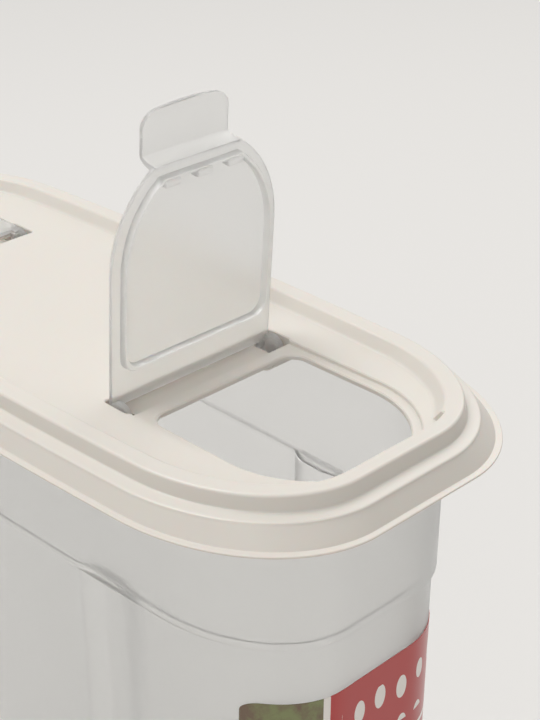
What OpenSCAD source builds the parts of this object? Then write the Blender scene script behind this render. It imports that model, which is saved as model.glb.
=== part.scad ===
// Rice bin with a flip lid: a drafted tub, a lift-off lid with a pouring flap at each end,
// and a paper label wrapped round the front.
// Millimetres. X runs along the bin towards the pouring end, Y across it and Z up.
// The origin is at the centre of the face that the bin stands on.

/* [Tub] */
// Length of the tub's wall at its mouth, outside
tub_len = 233; // [205:1:280]
// Width of the tub's wall at its mouth, outside
tub_w = 87.6; // [76:1:110]
// Height of the tub to the top of its rim
tub_h = 233.2; // [150:1:300]
// Length along the bin of the tub's upright corners at its mouth
corner_len = 41.2; // [34:0.2:46]
// Width across the bin of the tub's upright corners at its mouth
corner_w = 29.1; // [24:0.2:33]
// How far the long sides bow outwards
side_bow = 1.6; // [0.6:0.1:3]
// Wall thickness of the tub
tub_wall = 1.6; // [1.2:0.1:2.4]
// Draft of the tub's walls
draft_angle = 0.6; // [0.2:0.1:1.2]
// Height of the upper band, from the ledge to the rim
band_h = 42.1; // [25:1:60]
// Step inwards below the ledge
ledge_in = 1.2; // [0.8:0.1:2]
// Depth of the rounded edge round the base
base_edge = 7; // [4:0.5:12]
// Width of the rim that carries the lid, on the long sides
rim_side = 8.4; // [7:0.1:8.6]
// Width of the rim that carries the lid, on the ends
rim_end = 5.4; // [3.5:0.1:5.6]
// Depth of the lip turned down from the rim
rim_drop = 4; // [2.5:0.5:8]

/* [Finger grips] */
// Distance from the bin's centre to the crease of each grip
grip_x = 44.4; // [34:1:47]
// Length of each grip along the wall
grip_len = 26; // [18:1:30]
// Depth of each grip from the upper band
grip_in = 3.7; // [2:0.1:5]

/* [Lid] */
// Wall thickness of the lid
lid_wall = 1.6; // [1.2:0.1:2]
// Gap between the lid and the tub's rim
lid_gap = 0.3; // [0.2:0.05:0.5]
// Height of the raised ring above the lid's shoulder
ring_h = 4.2; // [4:0.1:6]
// Fall of the shoulder from the ring to its outer edge
shoulder_fall = 0.7; // [0.3:0.05:1]
// Width of the raised ring's top
ring_w = 5.5; // [5:0.1:6.5]
// Depth of the panel below the ring's top
panel_drop = 3.6; // [3.4:0.05:4.2]
// How far the ring stands outside the tub's wall, on the long sides
ring_side = 6.2; // [5.8:0.1:8]
// How far the ring stands outside the tub's wall, on the ends
ring_end = 3.2; // [2.8:0.1:5]
// Width of the shoulder outside the ring
shoulder_w = 4.4; // [4.3:0.1:6]
// How far the lip stands out beyond the shoulder, on the long sides
flare_side = 4; // [3.4:0.1:5]
// How far the lip stands out beyond the shoulder, on the ends
flare_end = 4.6; // [3.4:0.1:6]
// Height of the skirt with its lip
skirt_h = 6; // [5:0.1:10]
// Thickness of the flat lip round the skirt's foot
lip_h = 0.7; // [0.6:0.1:1]
// Width of the flat lip outside the skirt
lip_w = 1.6; // [1:0.1:2.2]

/* [Flaps] */
// Distance from the bin's centre to the front flap's hinge
front_hinge_x = 48.1; // [40:0.5:52]
// Half the front flap's width
front_half_w = 28.5; // [24:0.1:30]
// Distance from the bin's centre to the rear flap's hinge
rear_hinge_x = 61.1; // [56:0.5:70]
// Half the rear flap's width
rear_half_w = 23.8; // [20:0.1:27]
// Thickness of a flap's plate
flap_t = 1.3; // [1:0.1:1.8]
// How far the front flap stands open from closed
front_open = 86; // [0:1:108]
// Gap round a flap and under it in its pocket
flap_gap = 0.4; // [0.3:0.05:0.6]
// Radius of the arch at a flap's end
arch_r = 31.8; // [28:0.1:40]
// Length of the arch along a flap
arch_len = 26; // [20:0.5:30]
// How far the grip tab's sides stand in from the flap's sides
tab_in = 14; // [13:0.1:17]
// Length of the grip tab beyond the flap's plate
tab_len = 13.2; // [9:0.1:16]
// Depth of the sealing rib under a flap
seal_h = 2; // [1:0.1:3]

/* [Hinges] */
// Radius of the round ears on a flap
ear_r = 4; // [3.4:0.1:4.2]
// Thickness of each ear
ear_t = 1.8; // [1.4:0.1:2.4]
// Radius of the hinge pins
pin_r = 1.5; // [1:0.05:1.8]
// Radial clearance of a pin in its bore
pin_gap = 0.05; // [0.03:0.01:0.1]
// Length of the pins beyond the ears
pin_len = 2.2; // [1.6:0.1:3]
// Distance from a hinge to the gutter's wall behind it
gutter_back = 4.4; // [4.4:0.1:5]
// Distance from a hinge to the gutter's wall in front of it
gutter_front = 5.2; // [4.8:0.1:6]

/* [Label] */
// Distance from the ledge down to the label
label_drop = 17.6; // [8:1:30]
// Height of the label
label_h = 92; // [50:1:96]
// Half the label's reach across the bin
label_reach = 35; // [22:0.5:36]
// Thickness of the label
label_t = 0.2; // [0.15:0.05:0.3]

/* [Hidden] */

$fn = 48;
corner_steps = 12;
tub_colour = "#eadfdb";
lid_colour = "#e2dace";
flap_colour = "#e9dcd6";
label_colour = "#b8322c";

// Heights
ledge_z = tub_h - band_h;
shoulder_z = tub_h + lid_gap + lid_wall;
lid_top = shoulder_z + shoulder_fall + ring_h;
panel_z = lid_top - panel_drop;
pocket_drop = 1.25;
pocket_z = panel_z - pocket_drop;
flap_under = pocket_z + flap_gap;
flap_top = flap_under + flap_t;
hinge_z = flap_top - ear_r;
gutter_z = hinge_z - 0.15;

// Half sizes of the tub's mouth and of the lid's ring
mouth_x = tub_len / 2;
mouth_y = tub_w / 2;
ring_x = mouth_x + ring_end;
ring_y = mouth_y + ring_side;
ring_a = corner_len + (ring_end + ring_side) / 2;
ring_b = corner_w + (ring_end + ring_side) / 2;

// A flap's plate ends just inside the notch in the ring at either end
notch_in = 4.55;
plate_end = ring_x - notch_in - 2.15;
notch_side = 1.4;

slope = tan(draft_angle);

// One quarter of an outline with bowed sides and oval corners, from the +Y side to the +X end
function quarter(hx, hy, ra, rb, xs) =
    let (lean = 2 * side_bow / (hx - ra),
         turn = atan2(rb, ra * lean),
         side_x = hx - ra + ra * cos(turn),
         drop = lean * side_x / 2,
         low_y = hy - drop - rb * sin(turn))
    concat([for (x = xs) [x, hy - drop * pow(x / side_x, 2)]],
           [for (i = [0 : corner_steps])
               let (a = turn * (1 - i / corner_steps))
               [hx - ra + ra * cos(a), low_y + rb * sin(a)]],
           [[hx, 0]]);

// The whole outline, clockwise from above
function around(q) =
    let (n = len(q))
    concat(q,
           [for (i = [n - 2 : -1 : 0]) [q[i][0], -q[i][1]]],
           [for (i = [1 : n - 1]) [-q[i][0], -q[i][1]]],
           [for (i = [n - 2 : -1 : 1]) [-q[i][0], q[i][1]]]);

function raise(points, z) = [for (p = points) [p[0], p[1], z]];

// A solid skinned over sections that each hold the same number of points
module skin(sections, ring = false) {
    n = len(sections[0]);
    m = len(sections);
    last = ring ? m - 1 : m - 2;
    sides = [for (i = [0 : last], j = [0 : n - 1], k = [0, 1])
        let (a = i * n + j,
             b = i * n + (j + 1) % n,
             c = ((i + 1) % m) * n + (j + 1) % n,
             d = ((i + 1) % m) * n + j)
        k == 0 ? [a, b, c] : [a, c, d]];
    caps = ring ? [] : [[for (j = [n - 1 : -1 : 0]) j], [for (j = [0 : n - 1]) (m - 1) * n + j]];
    polyhedron([for (s = sections, p = s) p], concat(sides, caps), convexity = 6);
}

// Tub

grip_ramp = 7;
grip_flat = 5;
flush_in = 0.5;
tub_xs = [0, grip_x / 2, grip_x, grip_x + grip_ramp / 2, grip_x + grip_ramp,
          grip_x + grip_ramp + grip_flat,
          for (i = [1 : 4]) grip_x + grip_ramp + grip_flat + (grip_len - grip_ramp - grip_flat) * i / 4];

// How far the wall below the ledge stands in from the upper band at a place along the side
function wall_in(x) =
    x <= grip_x ? flush_in :
    x < grip_x + grip_ramp ? flush_in + (grip_in - flush_in) * (x - grip_x) / grip_ramp :
    x < grip_x + grip_ramp + grip_flat ? grip_in :
    x < grip_x + grip_len ?
        let (t = (x - grip_x - grip_ramp - grip_flat) / (grip_len - grip_ramp - grip_flat))
        ledge_in + (grip_in - ledge_in) * (1 + cos(180 * t)) / 2 :
    ledge_in;

// Outlines of the tub at a height, standing in by a distance
function band_line(z, inward = 0) =
    let (d = inward + (tub_h - z) * slope)
    raise(around(quarter(mouth_x - d, mouth_y - d, corner_len - d, corner_w - d, tub_xs)), z);

function wall_line(z, inward = 0) =
    let (d = inward + ledge_in + (tub_h - z) * slope,
         q = quarter(mouth_x - d, mouth_y - d, corner_len - d, corner_w - d, tub_xs),
         n = len(tub_xs))
    raise(around([for (i = [0 : len(q) - 1])
        i < n ? [q[i][0], q[i][1] + ledge_in - wall_in(tub_xs[i])] : q[i]]), z);

function rim_line(side, end, z) =
    let (grow = (side + end) / 2)
    raise(around(quarter(mouth_x + end, mouth_y + side, corner_len + grow, corner_w + grow, tub_xs)), z);

foot_w = 5;
groove_w = 6;
foot_h = 0.8;
floor_t = 1.8;

module tub() {
    color(tub_colour, 0.5)
    skin([
        wall_line(0, base_edge + foot_w + groove_w + 1),
        wall_line(foot_h, base_edge + foot_w + groove_w),
        wall_line(foot_h, base_edge + foot_w + 1),
        wall_line(0, base_edge + foot_w),
        wall_line(0, base_edge * 0.62),
        wall_line(base_edge * 0.14, base_edge * 0.3),
        wall_line(base_edge * 0.42, base_edge * 0.1),
        wall_line(base_edge, 0),
        wall_line(ledge_z, 0),
        band_line(ledge_z),
        band_line(tub_h - tub_wall),
        rim_line(rim_side - tub_wall, rim_end - tub_wall, tub_h - tub_wall),
        rim_line(rim_side - tub_wall, rim_end - tub_wall, tub_h - rim_drop),
        rim_line(rim_side, rim_end, tub_h - rim_drop),
        rim_line(rim_side, rim_end, tub_h),
        band_line(tub_h, tub_wall),
        band_line(ledge_z + tub_wall, tub_wall),
        wall_line(ledge_z + tub_wall, tub_wall),
        wall_line(base_edge + floor_t, tub_wall),
        wall_line(base_edge * 0.42 + floor_t, tub_wall + base_edge * 0.12),
        wall_line(foot_h + floor_t, tub_wall + base_edge * 0.55)
    ]);
}

// Lid

lid_xs = [for (i = [0 : 5]) i * (ring_x - ring_a) / 6];

// Outline of the lid at distances outside the ring, on the sides and on the ends
function lid_line(side, end, drop, tighter = 0) =
    let (grow = (side + end) / 2 - tighter)
    raise(around(quarter(ring_x + end, ring_y + side, ring_a + grow, ring_b + grow, lid_xs)), lid_top - drop);

crest_side = -ring_w;
crest_end = 0.4 - ring_w;
foot_in = 2.3;
lip_tight = 3.6;
shoulder_drop = ring_h + shoulder_fall;
skirt_drop = shoulder_drop + skirt_h;

// The lid's edge: lip, skirt, shoulder and raised ring, then back along the underside
module lid_edge() {
    s1 = shoulder_w + flare_side;
    e1 = shoulder_w + flare_end;
    s2 = s1 - lip_w;
    e2 = e1 - lip_w;
    skin([
        lid_line(s1 - 0.15, e1 - 0.15, skirt_drop, lip_tight),
        lid_line(s1, e1, skirt_drop - 0.15, lip_tight),
        lid_line(s1, e1, skirt_drop - lip_h + 0.2, lip_tight),
        lid_line(s1 - 0.25, e1 - 0.25, skirt_drop - lip_h, lip_tight),
        lid_line(s2 + 0.1, e2 + 0.1, skirt_drop - lip_h - 0.1, lip_tight - 0.8),
        lid_line(s2 - 0.15, e2 - 0.15, skirt_drop - lip_h - 0.35, lip_tight - 0.8),
        lid_line(shoulder_w + 0.25, shoulder_w + 0.25, shoulder_drop + 0.8, 0.4),
        lid_line(shoulder_w, shoulder_w, shoulder_drop + 0.3),
        lid_line(shoulder_w - 0.5, shoulder_w - 0.5, shoulder_drop - 0.05),
        lid_line(1.2, 1.4, ring_h + 0.1),
        lid_line(0.5, 0.8, ring_h - 0.3),
        lid_line(0.05, 0.1, 1),
        lid_line(-0.2, -0.2, 0.4),
        lid_line(-1.1, -1.1, 0.08),
        lid_line(crest_side + 0.7, crest_end + 0.7, 0),
        lid_line(crest_side, crest_end, 0.15),
        lid_line(crest_side - 0.5, crest_end - 0.5, 0.7),
        lid_line(crest_side - foot_in + 0.35, crest_end - foot_in + 0.35, panel_drop - 0.35),
        lid_line(crest_side - foot_in - 0.3, crest_end - foot_in - 0.3, panel_drop),
        lid_line(crest_side - foot_in - 2, crest_end - foot_in - 2, panel_drop),
        lid_line(crest_side - foot_in - 2, crest_end - foot_in - 2, panel_drop + lid_wall),
        lid_line(crest_side + 0.1, crest_end, panel_drop + lid_wall),
        lid_line(crest_side + 0.9, crest_end + 0.8, lid_wall),
        lid_line(-lid_wall, -lid_wall, lid_wall + 0.2),
        lid_line(0.2 - lid_wall, 0.3 - lid_wall, ring_h + lid_wall),
        lid_line(shoulder_w - lid_wall, shoulder_w - lid_wall, shoulder_drop + lid_wall),
        lid_line(s2 - lid_wall, e2 - lid_wall, skirt_drop, lip_tight - 0.8)
    ], ring = true);
}

// Plan of a flap's plate between its hinge side and its end, grown by a distance
module arch_plan(x0, x1, half_w, grow = 0) {
    a0 = x1 - arch_len;
    base_y = half_w - arch_r;
    end_y = base_y + sqrt(pow(arch_r, 2) - pow(arch_len, 2));
    side = [for (i = [0 : 8])
        let (t = asin(arch_len / arch_r) * i / 8)
        [a0 + (arch_r + grow) * sin(t), base_y + (arch_r + grow) * cos(t)]];
    far = max([for (p = side) p[0]]);
    points = concat([[x0, half_w + grow]], side, [[max(far, x1 + grow), side[8][1]]]);
    polygon(concat(points, [for (i = [len(points) - 1 : -1 : 0]) [points[i][0], -points[i][1]]]));
}

open_back = 9.4;
open_in = 2.3;
open_r = 5;

// Plan of the pouring opening under a flap
module opening_plan(hinge_x, half_w) {
    offset(r = open_r) offset(delta = -open_r)
        arch_plan(hinge_x + open_back, plate_end, half_w, -open_in);
}

end_wall = 2.4;
gutter_wall = 1.2;
ear_gap = 0.8;
well_w = 5.2;

// Plan of the notch that lets a tab through the ring, grown by a distance
module notch_plan(half_w, grow = 0) {
    intersection() {
        panel_plan(grow - notch_in, grow - notch_in);
        translate([plate_end - 9, -half_w - grow]) square([30, 2 * (half_w + grow)]);
    }
}

function notch_half(half_w) = half_w - 5.3;

// The gutter behind a flap, with a rounded well for the ear at each side, grown by a distance
module gutter(hinge_x, half_w, top_z, grow = 0, past = 0) {
    r = gutter_back + grow;
    low = gutter_z - grow;
    span = well_w + grow + past;
    translate([hinge_x - r, -half_w - past, low])
        cube([r + gutter_front + grow, 2 * (half_w + past), top_z - low]);
    intersection() {
        for (s = [-1, 1])
            translate([hinge_x, s * (half_w + past - span / 2), hinge_z]) rotate([90, 0, 0])
                cylinder(r = r, h = span, center = true);
        translate([hinge_x - 10, -half_w - 10, low - 10]) cube([20, 2 * half_w + 20, top_z - low + 10]);
    }
}

// Everything that a flap needs in the lid, at the +X end: solid stock, then the cuts
module pocket_stock(hinge_x, half_w) {
    out = half_w + ear_gap + flap_gap;
    translate([0, 0, pocket_z - lid_wall])
        linear_extrude(pocket_drop + lid_wall)
            arch_plan(hinge_x, plate_end, half_w, flap_gap + 1.2);
    gutter(hinge_x, out, panel_z, gutter_wall, end_wall);
    translate([0, 0, pocket_z - lid_wall])
        linear_extrude(pocket_drop + lid_wall - 0.2)
            notch_plan(notch_half(half_w), notch_side);
    translate([0, 0, pocket_z - lid_wall])
        linear_extrude(lid_top - 0.7 - pocket_z + lid_wall)
            difference() {
                notch_plan(notch_half(half_w), notch_side);
                panel_plan(-notch_in - 1, -notch_in - 1);
            }
}

module pocket_cuts(hinge_x, half_w) {
    out = half_w + ear_gap + flap_gap;
    translate([0, 0, pocket_z])
        linear_extrude(20) arch_plan(hinge_x, plate_end, half_w, flap_gap);
    gutter(hinge_x, out, lid_top + 10);
    translate([0, 0, pocket_z - 10])
        linear_extrude(30) opening_plan(hinge_x, half_w);
    translate([0, 0, panel_z])
        linear_extrude(20) notch_plan(notch_half(half_w));
    for (s = [-1, 1])
        translate([hinge_x, s * (out + end_wall / 2), hinge_z]) rotate([90, 0, 0])
            cylinder(r = pin_r + pin_gap, h = end_wall + 2, center = true);
}

plug_h = 6;
plug_gap = 0.5;
plug_t = 1.4;

module panel_plan(side, end) {
    polygon([for (p = lid_line(side, end, 0)) [p[0], p[1]]]);
}

// A short wall under the panel that centres the lid in the tub's mouth
module plug() {
    side = -ring_side - tub_wall - plug_gap;
    end = -ring_end - tub_wall - plug_gap;
    translate([0, 0, panel_z - lid_wall - plug_h])
        linear_extrude(plug_h + 0.5) difference() {
            panel_plan(side, end);
            panel_plan(side - plug_t, end - plug_t);
        }
}

module lid() {
    color(lid_colour)
    difference() {
        union() {
            lid_edge();
            translate([0, 0, panel_z - lid_wall])
                linear_extrude(lid_wall) panel_plan(crest_side - foot_in - 1, crest_end - foot_in - 1);
            plug();
            pocket_stock(front_hinge_x, front_half_w);
            rotate(180) pocket_stock(rear_hinge_x, rear_half_w);
        }
        pocket_cuts(front_hinge_x, front_half_w);
        rotate(180) pocket_cuts(rear_hinge_x, rear_half_w);
    }
}

// Flaps

heel = 1;
ear_side = 3.5;
seal_in = 2.7;
seal_back = 1.4;
seal_t = 1.5;
tab_rise = lid_top + 0.6 - flap_under;
tab_t = 1.2;

// The tab's side view: it climbs through the notch and runs out above the ring
module tab_side() {
    steps = 8;
    foot = plate_end + 0.3;
    reach = 1.5;
    rise = [for (i = [0 : steps]) [1 - cos(90 * i / steps), sin(90 * i / steps)]];
    lower = [for (p = rise) [foot + reach * p[0], flap_under + tab_rise * p[1]]];
    upper = [for (p = rise) [foot - flap_t + (reach + flap_t) * p[0], flap_top + (tab_rise + tab_t - flap_t) * p[1]]];
    polygon(concat([[plate_end - 6, flap_under + 0.05], [foot, flap_under + 0.05]],
        [for (i = [1 : steps]) lower[i]],
        [[plate_end + tab_len, flap_under + tab_rise],
         [plate_end + tab_len, flap_under + tab_rise + tab_t]],
        [for (i = [steps : -1 : 0]) upper[i]], [[plate_end - 6, flap_top - 0.05]]));
}

tab_bow = 90;

// The tab from above: rounded corners and a bowed end
module tab_top(tab_half_w) {
    tip_r = 4.5;
    x1 = plate_end + tab_len;
    intersection() {
        union() {
            translate([plate_end - 7, -tab_half_w]) square([7 + tab_len - tip_r, 2 * tab_half_w]);
            translate([plate_end, tip_r - tab_half_w]) square([tab_len, 2 * (tab_half_w - tip_r)]);
            for (s = [-1, 1])
                translate([x1 - tip_r, s * (tab_half_w - tip_r)]) circle(tip_r);
        }
        translate([x1 - tab_bow, 0]) circle(tab_bow, $fn = 360);
    }
}

module seal_plan(hinge_x, half_w, inward) {
    offset(r = open_r - 0.6 - inward) offset(delta = -open_r + 0.6)
        arch_plan(hinge_x + open_back + seal_back, plate_end, half_w, -seal_in);
}

bead_w = 5.4;
bead_in = 3.8;

// A flap, closed, at the +X end
module flap(hinge_x, half_w) {
    translate([0, 0, flap_under]) linear_extrude(flap_t)
        difference() {
            arch_plan(hinge_x - heel, plate_end, half_w);
            translate([hinge_x - heel - 1, -half_w + ear_side])
                square([2 * heel + 1, 2 * (half_w - ear_side)]);
        }
    intersection() {
        translate([0, 50, 0]) rotate([90, 0, 0]) linear_extrude(100) tab_side();
        translate([0, 0, flap_under - 5]) linear_extrude(30) tab_top(half_w - tab_in);
    }
    translate([0, 0, flap_under - seal_h]) linear_extrude(seal_h + 0.1)
        difference() {
            seal_plan(hinge_x, half_w, 0);
            seal_plan(hinge_x, half_w, seal_t);
        }
    for (i = [-1 : 1])
        translate([plate_end - seal_in - 2.2, i * (half_w - tab_in - bead_in) - bead_w / 2, flap_under - seal_h - 0.5])
            cube([2, bead_w, seal_h + 0.7]);
    for (s = [-1, 1]) {
        y0 = s > 0 ? half_w - ear_t : -half_w;
        translate([hinge_x, y0 + ear_t, hinge_z]) rotate([90, 0, 0]) cylinder(r = ear_r, h = ear_t);
        translate([hinge_x, s * half_w, hinge_z]) rotate([-90 * s, 0, 0])
            cylinder(r = pin_r, h = flap_gap + ear_gap + pin_len);
    }
}

module front_flap() {
    color(flap_colour, 0.6)
    translate([front_hinge_x, 0, hinge_z]) rotate([0, -front_open, 0])
        translate([-front_hinge_x, 0, -hinge_z]) flap(front_hinge_x, front_half_w);
}

module rear_flap() {
    color(flap_colour, 0.6) rotate(180) flap(rear_hinge_x, rear_half_w);
}

// Label

label_r = 3;

// Points of the wall's outline within the label's reach, from the +Y side round to the -Y side
function front_run(z, outward) =
    let (q = wall_line(z, -outward),
         n = len(quarter(mouth_x, mouth_y, corner_len, corner_w, tub_xs)),
         line = [for (i = [len(tub_xs) - 1 : 2 * n - len(tub_xs) - 1]) q[i]])
    line;

// The label from the front, with rounded corners
module label_face(low_z) {
    translate([-label_reach + label_r, low_z]) square([2 * (label_reach - label_r), label_h]);
    translate([-label_reach, low_z + label_r]) square([2 * label_reach, label_h - 2 * label_r]);
    for (x = [-1, 1], z = [label_r, label_h - label_r])
        translate([x * (label_reach - label_r), low_z + z]) circle(label_r);
}

module front_label() {
    top_z = ledge_z - label_drop;
    low_z = top_z - label_h;
    clear = 0.03;
    inner_low = front_run(low_z, clear);
    inner_top = front_run(top_z, clear);
    outer_low = front_run(low_z, clear + label_t);
    outer_top = front_run(top_z, clear + label_t);
    color(label_colour)
    intersection() {
        skin([for (i = [0 : len(inner_low) - 1])
            [inner_low[i], inner_top[i], outer_top[i], outer_low[i]]]);
        rotate([90, 0, 90]) linear_extrude(mouth_x + 5) label_face(low_z);
    }
}

tub();
lid();
front_flap();
rear_flap();
front_label();
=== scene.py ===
"""Dresses a rice bin with a flip lid: tub, moulded lid, two pouring flaps and a label.

Metres throughout. X runs along the bin towards the pouring end, Y across it and Z up,
with the floor at zero.
"""

import math

import bmesh
import bpy
from bpy.props import FloatProperty, FloatVectorProperty, PointerProperty
from mathutils import Matrix, Vector


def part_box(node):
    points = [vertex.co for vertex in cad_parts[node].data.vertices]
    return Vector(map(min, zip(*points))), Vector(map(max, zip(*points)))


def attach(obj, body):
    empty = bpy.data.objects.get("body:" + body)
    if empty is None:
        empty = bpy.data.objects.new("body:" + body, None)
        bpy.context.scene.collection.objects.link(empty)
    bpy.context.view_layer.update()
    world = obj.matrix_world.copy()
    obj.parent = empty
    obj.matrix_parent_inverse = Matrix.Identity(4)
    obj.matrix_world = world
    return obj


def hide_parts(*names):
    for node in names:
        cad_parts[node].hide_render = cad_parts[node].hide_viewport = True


bl_info = {
    "name": "Rice bin with flip lid",
    "version": (1, 0, 0),
    "blender": (4, 5, 0),
    "location": "3D View > Sidebar > Rice bin",
    "description": "Builds the tub, lid, flaps and label of a rice bin",
    "category": "Object",
}

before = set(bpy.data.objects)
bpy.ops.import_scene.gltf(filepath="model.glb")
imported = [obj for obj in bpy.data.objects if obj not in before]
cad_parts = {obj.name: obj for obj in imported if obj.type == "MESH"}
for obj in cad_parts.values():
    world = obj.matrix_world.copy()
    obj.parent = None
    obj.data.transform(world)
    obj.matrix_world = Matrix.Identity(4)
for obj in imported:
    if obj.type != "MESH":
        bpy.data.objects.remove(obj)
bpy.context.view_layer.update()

MM = 0.001
LID_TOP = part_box("lid")[1][2]
CLOSE = 0.004 * MM
DRAFT = math.tan(math.radians(0.6))
GRIP_RAMP = 7 * MM
GRIP_FLAT = 5 * MM
POCKET_DEPTH = 1.25 * MM
EAR_ROOM = 0.8 * MM


def linear(hex_colour):
    """Turns an sRGB hex colour into linear red, green and blue."""
    parts = [int(hex_colour[i:i + 2], 16) / 255 for i in (0, 2, 4)]
    return tuple(c / 12.92 if c <= 0.04045 else ((c + 0.055) / 1.055) ** 2.4 for c in parts)


def length(name, description, millimetres):
    """A size that a user may change."""
    return FloatProperty(name=name, description=description, default=millimetres * MM,
                         min=0.0, subtype="DISTANCE", unit="LENGTH", precision=5)


def colour(name, description, hex_colour):
    """A colour that a user may change."""
    return FloatVectorProperty(name=name, description=description, default=linear(hex_colour),
                               min=0.0, max=1.0, size=3, subtype="COLOR")


class RiceBinTub(bpy.types.PropertyGroup):
    """Sizes of the tub."""
    half_len: length("Half length", "Half the length of the wall at its mouth", 116.5)
    half_w: length("Half width", "Half the width of the wall at its mouth", 43.8)
    height: length("Height", "Height to the top of the rim", 233.2)
    corner_len: length("Corner length", "Length of an upright corner along the bin", 41.2)
    corner_w: length("Corner width", "Width of an upright corner across the bin", 29.1)
    side_bow: length("Side bow", "How far the long sides bow outwards", 1.6)
    wall: length("Wall", "Thickness of the wall", 1.6)
    band_h: length("Band height", "Height of the upper band, from the ledge to the rim", 42.1)
    ledge_in: length("Ledge step", "Step inwards below the ledge", 1.2)
    base_edge: length("Base edge", "Depth of the rounded edge round the base", 7)
    rim_side: length("Rim on the sides", "Width of the rim under the lid, on the sides", 8.4)
    rim_end: length("Rim on the ends", "Width of the rim under the lid, on the ends", 5.4)
    rim_drop: length("Rim depth", "Depth of the lip turned down from the rim", 4)
    grip_x: length("Grip place", "Distance from the middle to the crease of a finger grip", 44.4)
    grip_len: length("Grip length", "Length of a finger grip along the wall", 26)
    grip_in: length("Grip depth", "Depth of a finger grip from the upper band", 3.7)


class RiceBinLid(bpy.types.PropertyGroup):
    """Sizes of the lid."""
    wall: length("Wall", "Thickness of the lid", 1.6)
    ring_side: length("Ring on the sides", "How far the ring stands outside the tub's wall", 6.2)
    ring_end: length("Ring on the ends", "How far the ring stands outside the tub's wall", 3.2)
    ring_w: length("Ring width", "Width of the raised ring's top", 5.5)
    ring_h: length("Ring height", "Height of the raised ring above the shoulder", 4.2)
    panel_drop: length("Panel depth", "Depth of the panel below the ring's top", 3.6)
    shoulder_w: length("Shoulder", "Width of the shoulder outside the ring", 4.4)
    shoulder_fall: length("Shoulder fall", "Fall of the shoulder to its outer edge", 0.7)
    flare_side: length("Flare on the sides", "How far the lip stands beyond the shoulder", 4)
    flare_end: length("Flare on the ends", "How far the lip stands beyond the shoulder", 4.6)
    skirt_h: length("Skirt", "Height of the skirt with its lip", 6)
    lip_h: length("Lip thickness", "Thickness of the flat lip round the skirt's foot", 0.7)
    lip_w: length("Lip width", "Width of the flat lip outside the skirt", 1.6)


class RiceBinFlaps(bpy.types.PropertyGroup):
    """Sizes of the two flaps and their hinges."""
    front_hinge: length("Front hinge", "Distance from the middle to the front hinge", 48.1)
    front_half_w: length("Front half width", "Half the width of the front flap", 28.5)
    rear_hinge: length("Rear hinge", "Distance from the middle to the rear hinge", 61.1)
    rear_half_w: length("Rear half width", "Half the width of the rear flap", 23.8)
    plate: length("Plate", "Thickness of a flap's plate", 1.3)
    gap: length("Gap", "Gap round a flap and under it", 0.4)
    arch_r: length("Arch radius", "Radius of the arch at a flap's end", 31.8)
    arch_len: length("Arch length", "Length of the arch along a flap", 26)
    tab_len: length("Tab length", "Length of the finger tab beyond the plate", 13.2)
    ear_r: length("Ear radius", "Radius of the round ears at the hinge", 4)
    pin_r: length("Pin radius", "Radius of the hinge pins", 1.5)
    front_open: FloatProperty(
        name="Front flap open", description="How far the front flap stands open",
        default=math.radians(86), subtype="ANGLE", unit="ROTATION")


class RiceBinLabel(bpy.types.PropertyGroup):
    """Sizes of the label."""
    drop: length("Drop", "Distance from the ledge down to the label", 17.6)
    height: length("Height", "Height of the label", 92)
    reach: length("Reach", "Half the label's reach across the bin", 35)
    paper: length("Paper", "Thickness of the label", 0.2)


class RiceBinColours(bpy.types.PropertyGroup):
    """Colours of the plastics and of the print."""
    lid: colour("Lid", "Warm off-white polypropylene", "DDD8D0")
    tub: colour("Tub", "Milky natural polypropylene", "FEFEFD")
    flap: colour("Flaps", "Clear natural polypropylene", "FEFEFD")
    print_red: colour("Print red", "Main field of the label", "B52A27")
    print_pale: colour("Print pale", "Unprinted paper", "EDE7E1")
    print_brown: colour("Print brown", "Side panel of the label", "6E5844")
    print_green: colour("Print green", "Second tone of the side panel", "7C8253")
    stage: colour("Stage", "Floor and backdrop", "E9E7E4")


# Meshes


def add_object(name, verts, faces, material=None):
    """A mesh object at the origin with its place in its mesh."""
    mesh = bpy.data.meshes.new(name)
    mesh.from_pydata([tuple(v) for v in verts], [], faces)
    made = bpy.data.objects.new(name, mesh)
    bpy.context.scene.collection.objects.link(made)
    if material:
        mesh.materials.append(material)
    return made


def settle(piece):
    """Bakes a piece's modifiers into its mesh."""
    bpy.context.view_layer.update()
    seen = piece.evaluated_get(bpy.context.evaluated_depsgraph_get())
    baked = bpy.data.meshes.new_from_object(seen)
    piece.modifiers.clear()
    piece.data = baked
    return piece


def tidy_mesh(piece, close_holes=False):
    """Welds doubles, closes open ends and turns every face outwards."""
    work = bmesh.new()
    work.from_mesh(piece.data)
    bmesh.ops.remove_doubles(work, verts=work.verts, dist=CLOSE)
    if close_holes:
        rims = [e for e in work.edges if len(e.link_faces) == 1]
        bmesh.ops.holes_fill(work, edges=rims, sides=0)
    bmesh.ops.recalc_face_normals(work, faces=work.faces)
    work.to_mesh(piece.data)
    work.free()
    return piece


def soften(piece, degrees):
    """Shades a piece smooth up to an angle and evens its normals over flat faces."""
    piece.data.polygons.foreach_set("use_smooth", [True] * len(piece.data.polygons))
    piece.data.set_sharp_from_angle(angle=math.radians(degrees))
    even = piece.modifiers.new("Even normals", "WEIGHTED_NORMAL")
    even.keep_sharp = True
    even.weight = 60
    return settle(piece)


def combine(base, parts, operation):
    """Joins closed parts to a closed base, or cuts them out of it."""
    for part in parts:
        step = base.modifiers.new(operation, "BOOLEAN")
        step.operation = operation
        step.solver = "EXACT"
        step.object = part
    settle(base)
    for part in parts:
        bpy.data.objects.remove(part)
    return base


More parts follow.
